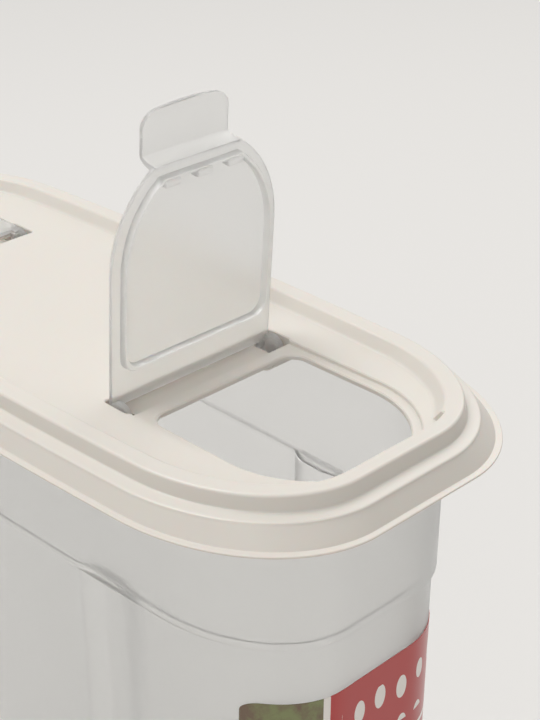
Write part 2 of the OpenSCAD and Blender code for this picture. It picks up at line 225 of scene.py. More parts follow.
def loft(name, rings, material=None):
    """A closed solid through rings that hold the same number of points."""
    count = len(rings[0])
    verts = [p for ring in rings for p in ring]
    faces = [(i * count + j, i * count + (j + 1) % count,
              (i + 1) * count + (j + 1) % count, (i + 1) * count + j)
             for i in range(len(rings) - 1) for j in range(count)]
    faces += [tuple(range(count))[::-1], tuple((len(rings) - 1) * count + j for j in range(count))]
    return tidy_mesh(add_object(name, verts, faces, material))


def turn(piece, matrix):
    """Moves a piece's mesh and leaves its object at the origin."""
    piece.data.transform(matrix)
    if matrix.determinant() < 0:
        tidy_mesh(piece)
    return piece


# Node trees


def add_node(tree, kind, inputs=None, **settings):
    """Adds a node with its settings, and links or sets its inputs by name or number."""
    made = tree.nodes.new(kind)
    for key, value in settings.items():
        setattr(made, key, value)
    for key, value in (inputs or {}).items():
        if isinstance(value, bpy.types.NodeSocket):
            tree.links.new(value, made.inputs[key])
        else:
            made.inputs[key].default_value = value
    return made


def bare_tree(holder):
    """The emptied shader tree of a material or a world."""
    holder.use_nodes = True
    holder.node_tree.nodes.clear()
    return holder.node_tree


def new_tree(name, sockets):
    """A geometry tree with named inputs, and its input node."""
    tree = bpy.data.node_groups.new(name, "GeometryNodeTree")
    for label, kind in sockets:
        tree.interface.new_socket(label, in_out="INPUT", socket_type="NodeSocket" + kind)
    tree.interface.new_socket("Mesh", in_out="OUTPUT", socket_type="NodeSocketGeometry")
    return tree, add_node(tree, "NodeGroupInput").outputs


def finish_tree(tree, geometry, material):
    """Ends a tree in plain geometry with its material."""
    real = add_node(tree, "GeometryNodeRealizeInstances", {"Geometry": geometry})
    dressed = add_node(tree, "GeometryNodeSetMaterial", {
        "Geometry": real.outputs[0], "Material": material})
    add_node(tree, "NodeGroupOutput", {0: dressed.outputs[0]})
    return tree


def sweep_tree():
    """Carries a section round an outline, pulled by the outline's own directions."""
    tree, given = new_tree("Section round an outline", (
        ("Outline", "Geometry"), ("Section", "Object"), ("Outline points", "Int"),
        ("Section points", "Int"), ("Weld distance", "Float"), ("Material", "Material")))
    section = add_node(tree, "GeometryNodeObjectInfo", {"Object": given["Section"]})
    columns = add_node(tree, "ShaderNodeMath", {
        0: given["Outline points"], 1: 1.0}, operation="ADD")
    grid = add_node(tree, "GeometryNodeMeshGrid", {
        "Vertices X": columns.outputs[0], "Vertices Y": given["Section points"]})
    place = add_node(tree, "GeometryNodeInputIndex")
    middle = add_node(tree, "ShaderNodeMath", {0: place.outputs[0], 1: 0.5}, operation="ADD")
    share = add_node(tree, "ShaderNodeMath", {
        0: middle.outputs[0], 1: given["Section points"]}, operation="DIVIDE")
    column = add_node(tree, "ShaderNodeMath", {0: share.outputs[0]}, operation="FLOOR")
    passed = add_node(tree, "ShaderNodeMath", {
        0: column.outputs[0], 1: given["Section points"]}, operation="MULTIPLY")
    row = add_node(tree, "ShaderNodeMath", {
        0: place.outputs[0], 1: passed.outputs[0]}, operation="SUBTRACT")
    round_again = add_node(tree, "ShaderNodeMath", {
        0: column.outputs[0], 1: given["Outline points"]}, operation="MODULO")
    where = add_node(tree, "GeometryNodeInputPosition")
    rail = add_node(tree, "GeometryNodeSampleIndex", {
        "Geometry": given["Outline"], "Value": where.outputs[0], "Index": round_again.outputs[0]},
        data_type="FLOAT_VECTOR")
    profile = add_node(tree, "GeometryNodeSampleIndex", {
        "Geometry": section.outputs["Geometry"], "Value": where.outputs[0],
        "Index": row.outputs[0]},
        data_type="FLOAT_VECTOR")
    offsets = add_node(tree, "ShaderNodeSeparateXYZ", {0: profile.outputs[0]})
    lift = add_node(tree, "ShaderNodeCombineXYZ", {"Z": offsets.outputs["Z"]})
    total = add_node(tree, "ShaderNodeVectorMath", {
        0: rail.outputs[0], 1: lift.outputs[0]}, operation="ADD").outputs[0]
    amounts = {"side_pull": offsets.outputs["X"], "end_pull": offsets.outputs["Y"]}
    for pull, amount in (("corner_pull", "tighter"), ("grip_pull", "grip_share")):
        named = add_node(tree, "GeometryNodeInputNamedAttribute", {
            "Name": amount}, data_type="FLOAT")
        amounts[pull] = add_node(tree, "GeometryNodeSampleIndex", {
            "Geometry": section.outputs["Geometry"], "Value": named.outputs[0],
            "Index": row.outputs[0]}, data_type="FLOAT").outputs[0]
    for pull, amount in amounts.items():
        named = add_node(tree, "GeometryNodeInputNamedAttribute", {
            "Name": pull}, data_type="FLOAT_VECTOR")
        way = add_node(tree, "GeometryNodeSampleIndex", {
            "Geometry": given["Outline"], "Value": named.outputs[0],
            "Index": round_again.outputs[0]}, data_type="FLOAT_VECTOR")
        part = add_node(tree, "ShaderNodeVectorMath", {
            0: way.outputs[0], "Scale": amount}, operation="SCALE")
        total = add_node(tree, "ShaderNodeVectorMath", {
            0: total, 1: part.outputs[0]}, operation="ADD").outputs[0]
    placed = add_node(tree, "GeometryNodeSetPosition", {
        "Geometry": grid.outputs["Mesh"], "Position": total})
    welded = add_node(tree, "GeometryNodeMergeByDistance", {
        "Geometry": placed.outputs[0], "Distance": given["Weld distance"]})
    return finish_tree(tree, welded.outputs[0], given["Material"])


def beads_tree():
    """Sets a row of equal beads along a line across the flap."""
    tree, given = new_tree("Row of snap beads", (
        ("Bead", "Geometry"), ("Count", "Int"), ("Start", "Vector"), ("Step", "Vector"),
        ("Material", "Material")))
    line = add_node(tree, "GeometryNodeMeshLine", {
        "Count": given["Count"], "Start Location": given["Start"], "Offset": given["Step"]})
    row = add_node(tree, "GeometryNodeInstanceOnPoints", {
        "Points": line.outputs[0], "Instance": given["Bead"]})
    return finish_tree(tree, row.outputs[0], given["Material"])


def grow(piece, tree, values):
    """Runs a geometry tree on a piece with named inputs and keeps the result as its mesh."""
    names = {item.name: item.identifier for item in tree.interface.items_tree}
    step = piece.modifiers.new(tree.name, "NODES")
    step.node_group = tree
    for name, value in values.items():
        step[names[name]] = value
    return settle(piece)


# Outlines


def quarter(half_len, half_w, corner_len, corner_w, bow, stations, steps):
    """One quarter of an outline with bowed sides and oval corners, from +Y round to +X."""
    lean = 2 * bow / (half_len - corner_len)
    whole = math.atan2(corner_w, corner_len * lean)
    side_x = half_len - corner_len + corner_len * math.cos(whole)
    drop = lean * side_x / 2
    low_y = half_w - drop - corner_w * math.sin(whole)
    points = [(x, half_w - drop * (x / side_x) ** 2) for x in stations]
    for i in range(steps + 1):
        angle = whole * (1 - i / steps)
        points.append((half_len - corner_len + corner_len * math.cos(angle),
                       low_y + corner_w * math.sin(angle)))
    return points + [(half_len, low_y * 0.5), (half_len, 0.0)]


def around(points):
    """The whole outline from its first quarter, clockwise seen from above."""
    last = len(points) - 1
    return (points
            + [(points[i][0], -points[i][1]) for i in range(last - 1, -1, -1)]
            + [(-points[i][0], -points[i][1]) for i in range(1, last + 1)]
            + [(-points[i][0], points[i][1]) for i in range(last - 1, 0, -1)])


def corner_outline(tub, stations, steps, side=0.0, end=0.0, tighter=0.0):
    """The tub's mouth outline, moved out by a distance on the sides and on the ends."""
    grown = (side + end) / 2 - tighter
    return around(quarter(tub.half_len + end, tub.half_w + side, tub.corner_len + grown,
                          tub.corner_w + grown, tub.side_bow, stations, steps))


def x_at(points, y):
    """Where a run of an outline crosses a distance across the bin."""
    (xa, ya), (xb, yb) = sorted(points, key=lambda p: abs(p[1] - y))[:2]
    return xa + (xb - xa) * (y - ya) / (yb - ya) if abs(yb - ya) > 1e-9 else xa


def put_attribute(mesh, name, values):
    """Writes one number or vector for each point of a mesh."""
    vector = isinstance(values[0], (tuple, list))
    layer = mesh.attributes.new(name, "FLOAT_VECTOR" if vector else "FLOAT", "POINT")
    flat = [c for v in values for c in v] if vector else values
    layer.data.foreach_set("vector" if vector else "value", flat)


def sweep(name, outline, pulls, section, material, closed=False):
    """Carries a section of (side, end, z, tighter, grip share) round an outline."""
    rail = add_object(name, [(x, y, 0.0) for x, y in outline], [])
    for pull in ("side_pull", "end_pull", "corner_pull", "grip_pull"):
        put_attribute(rail.data, pull, pulls.get(pull, [(0.0, 0.0, 0.0)] * len(outline)))
    if closed:
        section = section + section[:1]
    profile = add_object(name + "_section", [row[:3] for row in section], [])
    put_attribute(profile.data, "tighter", [row[3] for row in section])
    put_attribute(profile.data, "grip_share", [row[4] for row in section])
    grow(rail, sweep_tree(), {
        "Section": profile, "Outline points": len(outline), "Section points": len(section),
        "Weld distance": CLOSE, "Material": material})
    bpy.data.objects.remove(profile)
    return tidy_mesh(rail, close_holes=not closed)


def outline_pulls(tub, stations, steps, side, end):
    """How each point of an outline moves for a metre outwards on the sides, ends or corners."""
    start = corner_outline(tub, stations, steps, side, end)
    pulls = {}
    for pull, more_side, more_end, tighter in (
            ("side_pull", MM, 0, 0), ("end_pull", 0, MM, 0), ("corner_pull", 0, 0, MM)):
        moved = corner_outline(tub, stations, steps, side + more_side, end + more_end, tighter)
        pulls[pull] = [((m[0] - s[0]) / MM, (m[1] - s[1]) / MM, 0.0) for s, m in zip(start, moved)]
    return start, pulls


def rounded(start, corner, end, radius_steps):
    """Points that round a corner of a section between two of its points."""
    points = []
    for i in range(radius_steps + 1):
        t = i / radius_steps
        points.append(tuple((1 - t) ** 2 * a + 2 * t * (1 - t) * b + t * t * c
                            for a, b, c in zip(start, corner, end)))
    return points


# Plastics and paper


def moulded(name, colour_value, roughness, mottle, peel, scale,
            transmission=0.0, ior=1.49, subsurface=0.0):
    """Moulded polypropylene, with the faint orange peel of a moulded skin in its gloss."""
    made = bpy.data.materials.new(name)
    tree = bare_tree(made)
    place = add_node(tree, "ShaderNodeTexCoord")
    cloud = add_node(tree, "ShaderNodeTexNoise", {
        "Vector": place.outputs["Object"], "Scale": 28.0, "Detail": 3.0, "Roughness": 0.6})
    tint = add_node(tree, "ShaderNodeMix", {
        0: cloud.outputs["Fac"], 6: (*[c * (1 - mottle) for c in colour_value], 1.0),
        7: (*[min(1.0, c * (1 + mottle)) for c in colour_value], 1.0)}, data_type="RGBA")
    skin = add_node(tree, "ShaderNodeTexNoise", {
        "Vector": place.outputs["Object"], "Scale": scale, "Detail": 2.0, "Roughness": 0.5})
    gloss = roughness if transmission else add_node(tree, "ShaderNodeMapRange", {
        "Value": cloud.outputs["Fac"], "From Min": 0.0, "From Max": 1.0,
        "To Min": roughness - 0.06, "To Max": roughness + 0.06}).outputs[0]
    bump = add_node(tree, "ShaderNodeBump", {
        "Height": skin.outputs["Fac"], "Strength": peel, "Distance": 0.05 * MM})
    shader = add_node(tree, "ShaderNodeBsdfPrincipled", {
        "Base Color": tint.outputs[2], "Roughness": gloss, "Normal": bump.outputs[0],
        "IOR": ior, "Transmission Weight": transmission, "Subsurface Weight": subsurface,
        "Subsurface Scale": 2 * MM})
    add_node(tree, "ShaderNodeOutputMaterial", {"Surface": shader.outputs[0]})
    return made


def printed_paper(name, colours, top):
    """Gloss-coated label paper with a plain printed pattern of blocks and grains."""
    made = bpy.data.materials.new(name)
    tree = bare_tree(made)
    place = add_node(tree, "ShaderNodeTexCoord")
    spot = add_node(tree, "ShaderNodeSeparateXYZ", {0: place.outputs["Object"]})
    shader = add_node(tree, "ShaderNodeBsdfPrincipled", {
        "Roughness": 0.32, "IOR": 1.5, "Coat Weight": 0.3, "Coat Roughness": 0.12})

    def step(value, low, high):
        """One between two heights, and nothing outside them."""
        above = add_node(tree, "ShaderNodeMath", {0: value, 1: low}, operation="GREATER_THAN")
        below = add_node(tree, "ShaderNodeMath", {0: value, 1: high}, operation="LESS_THAN")
        return add_node(tree, "ShaderNodeMath", {0: above.outputs[0], 1: below.outputs[0]},
                        operation="MULTIPLY").outputs[0]

    def blend(under, over, share):
        """Lays one colour over another."""
        return add_node(tree, "ShaderNodeMix", {
            0: share, 6: under, 7: over}, data_type="RGBA").outputs[2]

    red, pale, brown, green = ((*c, 1.0) for c in (
        colours.print_red, colours.print_pale, colours.print_brown, colours.print_green))
    leaf = add_node(tree, "ShaderNodeTexNoise", {
        "Vector": place.outputs["Object"], "Scale": 90.0, "Detail": 5.0, "Roughness": 0.65})
    sharp = add_node(tree, "ShaderNodeMapRange", {
        "Value": leaf.outputs["Fac"], "From Min": 0.42, "From Max": 0.58})
    side_panel = blend(brown, green, sharp.outputs[0])
    across, up = spot.outputs["Y"], spot.outputs["Z"]
    panel_edge, margin_edge, field_edge, beyond = -0.0195, -0.0175, -0.0135, 1.0
    ground = blend(red, side_panel, step(across, -beyond, panel_edge))
    ground = blend(ground, pale, step(across, panel_edge, margin_edge))
    grains = add_node(tree, "ShaderNodeMapping", {
        "Vector": place.outputs["Object"], "Scale": (1.0, 115.0, 62.0)})
    cells = add_node(tree, "ShaderNodeTexVoronoi", {
        "Vector": grains.outputs[0], "Scale": 1.0, "Randomness": 0.25}, feature="F1")
    grain = add_node(tree, "ShaderNodeMath", {
        0: cells.outputs["Distance"], 1: 0.24}, operation="LESS_THAN")
    field = add_node(tree, "ShaderNodeMath", {
        0: step(across, field_edge, beyond), 1: step(up, top - 0.024, top - 0.007)},
        operation="MULTIPLY")
    grain_here = add_node(tree, "ShaderNodeMath", {
        0: grain.outputs[0], 1: field.outputs[0]}, operation="MULTIPLY")
    ground = blend(ground, pale, grain_here.outputs[0])
    ground = blend(ground, pale, step(up, top - 0.031, top - 0.0295))
    tree.links.new(ground, shader.inputs["Base Color"])
    add_node(tree, "ShaderNodeOutputMaterial", {"Surface": shader.outputs[0]})
    return made


# Tub


def tub_stations(tub):
    """Places along the long side, close together where the finger grip bends."""
    ramp_end = tub.grip_x + GRIP_RAMP
    flat_end, grip_end = ramp_end + GRIP_FLAT, tub.grip_x + tub.grip_len
    return ([tub.grip_x * i / 10 for i in range(11)]
            + [tub.grip_x + GRIP_RAMP * i / 6 for i in range(1, 7)]
            + [ramp_end + GRIP_FLAT * i / 3 for i in range(1, 4)]
            + [flat_end + (grip_end - tub.grip_x - GRIP_RAMP - GRIP_FLAT) * i / 8
               for i in range(1, 9)])


def wall_in(tub, x):
    """How far the wall below the ledge stands in from the upper band."""
    flush = 0.5 * MM
    past = abs(x) - tub.grip_x
    if past <= 0:
        return flush
    if past < GRIP_RAMP:
        return flush + (tub.grip_in - flush) * math.sin(past / GRIP_RAMP * math.pi / 2)
    if past < GRIP_RAMP + GRIP_FLAT:
        return tub.grip_in
    if past < tub.grip_len:
        t = (past - GRIP_RAMP - GRIP_FLAT) / (tub.grip_len - GRIP_RAMP - GRIP_FLAT)
        return tub.ledge_in + (tub.grip_in - tub.ledge_in) * (1 + math.cos(math.pi * t)) / 2
    return tub.ledge_in


def tub_section(tub):
    """The tub's section from its underside, up outside, over the rim and down inside."""
    top, edge, t = tub.height, tub.base_edge, tub.wall
    ledge = top - tub.band_h

    def band(z, inward=0.0):
        out = -(inward + (top - z) * DRAFT)
        return (out, out, z, 0.0, 0.0)

    def wall(z, inward=0.0):
        out = -(inward + tub.ledge_in + (top - z) * DRAFT)
        return (out, out, z, 0.0, 1.0)

    def rim(z, inward=0.0):
        return (tub.rim_side - inward, tub.rim_end - inward, z, 0.0, 0.0)

    rows = [wall(0, edge + 18 * MM), wall(0, edge + 12 * MM), wall(0.8 * MM, edge + 11 * MM),
            wall(0.8 * MM, edge + 6 * MM), wall(0, edge + 5 * MM)]
    rows += rounded(wall(0, edge * 0.62), wall(0, 0), wall(edge, 0), 8)
    rows += [wall(edge + (ledge - edge) * i / 6) for i in range(1, 6)]
    rows += rounded(wall(ledge - 0.6 * MM), wall(ledge), wall(ledge, -0.05 * MM), 2)
    rows += rounded(band(ledge, 0.35 * MM), band(ledge), band(ledge + 0.45 * MM), 3)
    rows += [band(ledge + 14 * MM), band(ledge + 28 * MM)]
    rows += rounded(band(top - t - 1.5 * MM), band(top - t),
                    (1.5 * MM, 1.5 * MM, top - t, 0.0, 0.0), 3)
    rows += [rim(top - t, t), rim(top - tub.rim_drop, t), rim(top - tub.rim_drop)]
    rows += rounded(rim(top - MM), rim(top), rim(top, MM), 3)
    rows += rounded(band(top, t - 0.8 * MM), band(top, t), band(top - 0.8 * MM, t), 3)
    rows += [band(ledge + 20 * MM, t)]
    rows += rounded(band(ledge + t + 0.5 * MM, t), band(ledge + t, t),
                    wall(ledge + t - 0.5 * MM, t), 3)
    rows += [wall(ledge * 0.6, t), wall(ledge * 0.3, t)]
    floor = 2.6 * MM
    rows += rounded(wall(edge + floor, t), wall(floor, t), wall(floor, t + edge * 0.62), 8)
    rows += [wall(floor, edge + 12 * MM)]
    return rows


def build_tub(tub, colours):
    """The whole tub as one shell swept round its outline."""
    stations, steps = tub_stations(tub), 26
    outline, pulls = outline_pulls(tub, stations, steps, 0.0, 0.0)
    side_end = tub.half_len - tub.corner_len
    pulls["grip_pull"] = [
        (0.0, (1 if y > 0 else -1) * (tub.ledge_in - wall_in(tub, x)), 0.0)
        if abs(x) <= side_end else (0.0, 0.0, 0.0) for x, y in outline]
    # Natural polypropylene, moulded: clear enough to show the far wall, milky enough to blur it
    milky = moulded("Natural polypropylene, moulded tub", colours.tub, 0.3,
                    mottle=0.01, peel=0.12, scale=700.0, transmission=0.91)
    shell = sweep("tub_shell", outline, pulls, tub_section(tub), milky)
    soften(shell, 35)
    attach(shell, "tub")
    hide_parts("tub")


# Lid


def lid_section(tub, lid):
    """The lid's section from the panel's underside, out under the edge and back over the ring."""
    t, drop = lid.wall, lid.ring_h + lid.shoulder_fall
    low = drop + lid.skirt_h
    side, end = lid.shoulder_w + lid.flare_side, lid.shoulder_w + lid.flare_end
    crest_side, crest_end, foot = -lid.ring_w, 0.4 * MM - lid.ring_w, 2.3 * MM
    plug_side = -lid.ring_side - tub.wall - 0.5 * MM
    plug_end = -lid.ring_end - tub.wall - 0.5 * MM
    plug_t, plug_h = 1.4 * MM, 6 * MM
    under = lid.panel_drop + t

    def at(s, e, depth, tighter=0.0):
        return (s, e, LID_TOP - depth, tighter, 0.0)

    def line(s, e, tighter=0.0):
        """Rows at a number of millimetres outside one of the section's lines."""
        return lambda out, depth: at(s + out * MM, e + out * MM, depth, tighter)

    plug, plug_in = line(plug_side, plug_end), line(plug_side - plug_t, plug_end - plug_t)
    crest, root = line(crest_side, crest_end), line(crest_side - foot, crest_end - foot)
    inner, shoulder = line(-t, -t), line(lid.shoulder_w, lid.shoulder_w)
    skirt_tighter, lip = 2.8 * MM, line(side, end, 3.6 * MM)
    skirt = line(side - lid.lip_w, end - lid.lip_w, skirt_tighter)
    rows = [plug(-8, under), plug_in(0, under), plug_in(0, under + plug_h - 0.3 * MM),
            plug_in(0.3, under + plug_h), plug(-0.3, under + plug_h),
            plug(0, under + plug_h - 0.3 * MM), plug(0, under),
            at(crest_side + 0.1 * MM, crest_end, under),
            at(crest_side + 0.9 * MM, crest_end + 0.8 * MM, t + 0.3 * MM),
            crest(1.4, t), inner(-0.5, t), inner(0, t + 0.5 * MM),
            at(0.2 * MM - t, 0.3 * MM - t, lid.ring_h + t),
            at(lid.shoulder_w - t, lid.shoulder_w - t, drop + t),
            at(side - lid.lip_w - t, end - lid.lip_w - t, low, skirt_tighter)]
    rows += rounded(lip(-0.4, low), lip(-0.05, low), lip(0, low - 0.3 * MM), 4)
    rows += rounded(lip(0, low - lid.lip_h + 0.32 * MM), lip(0, low - lid.lip_h),
                    lip(-0.35, low - lid.lip_h), 4)
    crease = low - lid.lip_h - 0.08 * MM
    rows += rounded(skirt(0.2, crease), skirt(0, crease), skirt(-0.1, crease - 0.2 * MM), 3)
    foot_row = skirt(-0.14, crease - 0.3 * MM)
    top_row = line(lid.shoulder_w, lid.shoulder_w, 0.3 * MM)(0.12, drop + 0.75 * MM)
    rows += [tuple(a + (b - a) * i / 5 for a, b in zip(foot_row, top_row)) for i in range(6)]
    rows += rounded(shoulder(0.05, drop + 0.5 * MM), shoulder(0, drop),
                    shoulder(-0.7, drop - 0.1 * MM), 4)
    rows += rounded(at(0.95 * MM, 1.25 * MM, lid.ring_h + 0.06 * MM),
                    at(0.55 * MM, 0.85 * MM, lid.ring_h),
                    at(0.5 * MM, 0.8 * MM, lid.ring_h - 0.4 * MM), 3)
    rows += rounded(at(0.05 * MM, 0.08 * MM, 0.9 * MM), at(0.0, 0.0, 0.1 * MM),
                    at(-0.95 * MM, -0.95 * MM, 0.02 * MM), 5)
    rows += rounded(crest(0.7, 0.0), crest(0, 0.0), crest(-0.45, 0.7 * MM), 4)
    rows += rounded(root(0.5, lid.panel_drop - 0.8 * MM), root(0, lid.panel_drop),
                    root(-0.8, lid.panel_drop), 4)
    return rows + [root(-5, lid.panel_drop)]


def flap_end(tub, lid):
    """Where the plate of a flap ends, inside the ring."""
    return tub.half_len + lid.ring_end - 6.7 * MM


def arch(flaps, hinge_side, far, half_w, out=0.0, steps=14):
    """Plan of a flap's plate from its hinge side to its end, grown by a distance."""
    radius, run = flaps.arch_r + out, flaps.arch_len
    whole = math.asin(run / flaps.arch_r)
    side = [(far - run + radius * math.sin(whole * i / steps),
             half_w - flaps.arch_r + radius * math.cos(whole * i / steps))
            for i in range(steps + 1)]
    tip = (max(side[-1][0], far + out), side[-1][1])
    half = [(hinge_side - out, half_w + out)] + side + [tip]
    return half + [(x, -y) for x, y in reversed(half)]


def round_corners(points, which, radius, steps=8):
    """Rounds named corners of a plan."""
    count, result = len(points), []
    for i, point in enumerate(points):
        if i not in which:
            result.append(point)
            continue
        here = Vector(point)
        before = (Vector(points[i - 1]) - here).normalized()
        after = (Vector(points[(i + 1) % count]) - here).normalized()
        reach = radius / math.tan(before.angle(after) / 2)
        a, b = here + before * reach, here + after * reach
        centre = here + (before + after).normalized() * radius / math.sin(before.angle(after) / 2)
        start, stop = a - centre, b - centre
        sweep_angle = start.angle_signed(stop)
        for k in range(steps + 1):
            turned = Matrix.Rotation(-sweep_angle * k / steps, 2) @ start
            result.append(tuple(centre + turned))
    return result


def block(name, levels, plan):
    """A solid whose plan, given by a distance outwards, changes from level to level."""
    return loft(name, [[(x, y, z) for x, y in plan(out)] for z, out in levels])


def box_plan(x0, x1, half_w, corner):
    """A plan with rounded corners, as a function of how far it is grown."""
    def plan(out):
        points = [(x0 - out, -half_w - out), (x1 + out, -half_w - out),
                  (x1 + out, half_w + out), (x0 - out, half_w + out)]
        return round_corners(points, range(4), corner + out, 6)
    return plan


def cutter_levels(floor, top, edge, root):
    """Levels of a cutter that leaves a rounded edge at the top and a rounded root at the floor."""
    turns = (0.0, 0.4, 0.8, 1.2, math.pi / 2)
    levels = [(floor + root * (1 - math.cos(a)), -root * (1 - math.sin(a))) for a in turns]
    if not root:
        levels = [(floor, 0.0)]
    levels += [(top - edge * math.cos(a), edge * (1 - math.cos(a))) for a in turns]
    return levels + [(top + 0.5 * MM, edge + 0.5 * MM)]


def lid_pocket(tub, lid, flaps, hinge, half_w, turned):
    """Stock and cutters for one flap: pocket, gutter with wells, opening, notch and pin bores."""
    panel = LID_TOP - lid.panel_drop
    floor = panel - POCKET_DEPTH
    t, far = lid.wall, flap_end(tub, lid)
    notch_in, notch_w = 4.55 * MM, half_w - 5.3 * MM
    hinge_z = floor + flaps.gap + flaps.plate - flaps.ear_r
    gutter_z = hinge_z - 0.15 * MM
    out = half_w + flaps.gap + EAR_ROOM
    well_r, front, gutter_t = 4.4 * MM, hinge + 5.2 * MM, 1.2 * MM
    back = hinge - well_r
    opening_back, opening_in = 9.4 * MM, 2.3 * MM
    stock_top, above = panel - 0.3 * MM, LID_TOP + 5 * MM
    stations = [0.0, 30 * MM, 60 * MM]

    def notch(outward):
        """Plan of the notch: the ring's own outline at its outer side."""
        inward = -notch_in + outward
        points = corner_outline(tub, stations, 40, lid.ring_side + inward, lid.ring_end + inward)
        near, edge = [p for p in points if p[0] > 0], notch_w + outward
        line = [(x_at(near, edge * k / 12), edge * k / 12) for k in range(-12, 13)]
        return [(far - 9 * MM, -edge)] + line + [(far - 9 * MM, edge)]

    def notch_back(outward):
        """Plan of the wall that closes the ring behind the notch, the same at every level."""
        return notch(-MM)[1:-1] + notch(1.4 * MM)[1:-1][::-1]

    def pocket(outward):
        return arch(flaps, hinge, far, half_w, flaps.gap + outward)

    def opening(outward):
        plan = arch(flaps, hinge + opening_back - opening_in, far, half_w, outward - opening_in)
        return round_corners(plan, (0, len(plan) - 1), 5 * MM - outward, 8)

    stock = [
        block("pocket_stock", [(floor - t, 1.2 * MM), (stock_top, 1.2 * MM)], pocket),
        block("gutter_stock", [(gutter_z - gutter_t, 0.0), (stock_top, 0.0)],
              box_plan(back - gutter_t, front + gutter_t, out + 2.4 * MM, 1.2 * MM)),
        block("notch_stock", [(floor - t, 1.4 * MM), (stock_top, 1.4 * MM)], notch),
        block("notch_back", [(floor - t, 0.0), (LID_TOP - 0.8 * MM, 0.0)], notch_back)]
    cutters = [
        block("pocket_cut", cutter_levels(floor, panel, 0.3 * MM, 0.25 * MM)
              + [(above, 0.8 * MM)], pocket),
        block("gutter_cut", cutter_levels(gutter_z, panel, 0.3 * MM, 0.5 * MM)
              + [(above, 0.8 * MM)], box_plan(back, front, out, 0.9 * MM)),
        block("opening_cut", [(floor - 12 * MM, 0.0), (floor - t, 0.3 * MM),
                              (floor - t + 0.4 * MM, 0.0)]
              + cutter_levels(floor - 0.9 * MM, floor, 0.35 * MM, 0.0)[1:]
              + [(above, 0.85 * MM)], opening),
        block("notch_cut", cutter_levels(panel, LID_TOP - 0.02 * MM, 0.35 * MM, 0.3 * MM)
              + [(above, 0.85 * MM)], notch)]
    axle = (hinge, 0.0, hinge_z)
    for side in (-1, 1):
        stock.append(lathe("well_stock", [
            (well_r + gutter_t, side * y) for y in (out - 6.4 * MM, out + 2.4 * MM)],
            axle, top=stock_top))
        cutters.append(lathe("well_cut", [(well_r, side * y) for y in (out - 5.2 * MM, out)], axle))
        cutters.append(lathe("pin_bore", [
            (flaps.pin_r + 0.05 * MM, side * y) for y in (out - MM, out + 3 * MM)], axle))
    if turned:
        for piece in stock + cutters:
            turn(piece, Matrix.Rotation(math.pi, 4, "Z"))
    return stock, cutters


def build_lid(tub, lid, flaps, colours):
    """The lid's edge and panel swept in one piece, then its pockets."""
    ring_x = tub.half_len + lid.ring_end
    corner = tub.corner_len + (lid.ring_end + lid.ring_side) / 2
    stations = [(ring_x - corner) * i / 12 for i in range(12)]
    outline, pulls = outline_pulls(tub, stations, 30, lid.ring_side, lid.ring_end)
    # Off-white polypropylene, moulded: opaque, satin on top, a little light under its skin
    opaque = moulded("Off-white polypropylene, moulded lid", colours.lid, 0.34,
                     mottle=0.012, peel=0.12, scale=600.0, subsurface=0.15)
    shell = sweep("lid_shell", outline, pulls, lid_section(tub, lid), opaque)
    stock, cutters = [], []
    for hinge, half_w, turned in ((flaps.front_hinge, flaps.front_half_w, False),
                                  (flaps.rear_hinge, flaps.rear_half_w, True)):
        more_stock, more_cutters = lid_pocket(tub, lid, flaps, hinge, half_w, turned)
        stock += more_stock
        cutters += more_cutters
    combine(shell, stock, "UNION")
    combine(shell, cutters, "DIFFERENCE")
    shell.data.materials.clear()
    shell.data.materials.append(opaque)
    soften(shell, 32)
    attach(shell, "lid")
    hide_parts("lid")


# Flaps


def lathe(name, profile, centre, steps=40, top=1.0):
    """A solid turned about an axis across the bin from (radius, y) points, cut level at its top."""
    turns = [2 * math.pi * k / steps for k in range(steps)]
    x, middle, z = centre
    return loft(name, [[(x + r * math.cos(a), middle + y, min(top, z + r * math.sin(a)))
                        for a in turns] for r, y in profile])


def tab_mesh(name, lid, flaps, far, under, half_w):
    """The finger tab: it climbs through the notch and runs out above the ring."""
    rise = LID_TOP + 0.6 * MM - under
    reach, t, tip_r, bow = 1.5 * MM, 1.2 * MM, 4.2 * MM, 90 * MM
    foot = far + 0.3 * MM
    end = far + flaps.tab_len
    lower = [(far - 6 * MM, under + 0.05 * MM)]
    upper = [(far - 6 * MM, under + flaps.plate - 0.05 * MM)]
    for i in range(11):
        a = math.pi / 2 * i / 10
        lower.append((foot + reach * (1 - math.cos(a)),
                      under + 0.05 * MM + (rise - 0.05 * MM) * math.sin(a)))
        upper.append((foot - flaps.plate + (reach + flaps.plate) * (1 - math.cos(a)),
                      under + flaps.plate + (rise + t - flaps.plate) * math.sin(a)))
    straight = end - tip_r
    stops = [lower[-1][0] + (straight - lower[-1][0]) * i / 4 for i in range(1, 5)]
    stops += [straight + tip_r * math.sin(math.pi / 2 * i / 8) for i in range(1, 9)]
    for x in stops:
        lower.append((x, under + rise))
        upper.append((x, under + rise + t))
    rings, across = [], 16
    for (xl, zl), (xu, zu) in zip(lower, upper):
        along = max(xl, xu)
        flare = 1 - min(1.0, max(0.0, (zl - under) / (rise * 0.9)))
        wide = half_w + 0.2 * MM * flare ** 2
        if along > straight:
            wide = half_w - tip_r + math.sqrt(max(0.0, tip_r ** 2 - (along - straight) ** 2))
        ring = []
        for x, z, order in ((xu, zu, range(across + 1)), (xl, zl, range(across, -1, -1))):
            for k in order:
                y = wide * (2 * k / across - 1)
                pull = (bow - math.sqrt(bow ** 2 - y ** 2)) * max(0.0, (x - foot) / (end - foot))
                ring.append((x - pull, y, z))
        rings.append(ring)
    made = loft(name, rings)
    edge = made.modifiers.new("Edge", "BEVEL")
    edge.width = 0.35 * MM
    edge.segments = 2
    edge.limit_method = "ANGLE"
    edge.angle_limit = math.radians(50)
    return settle(made)


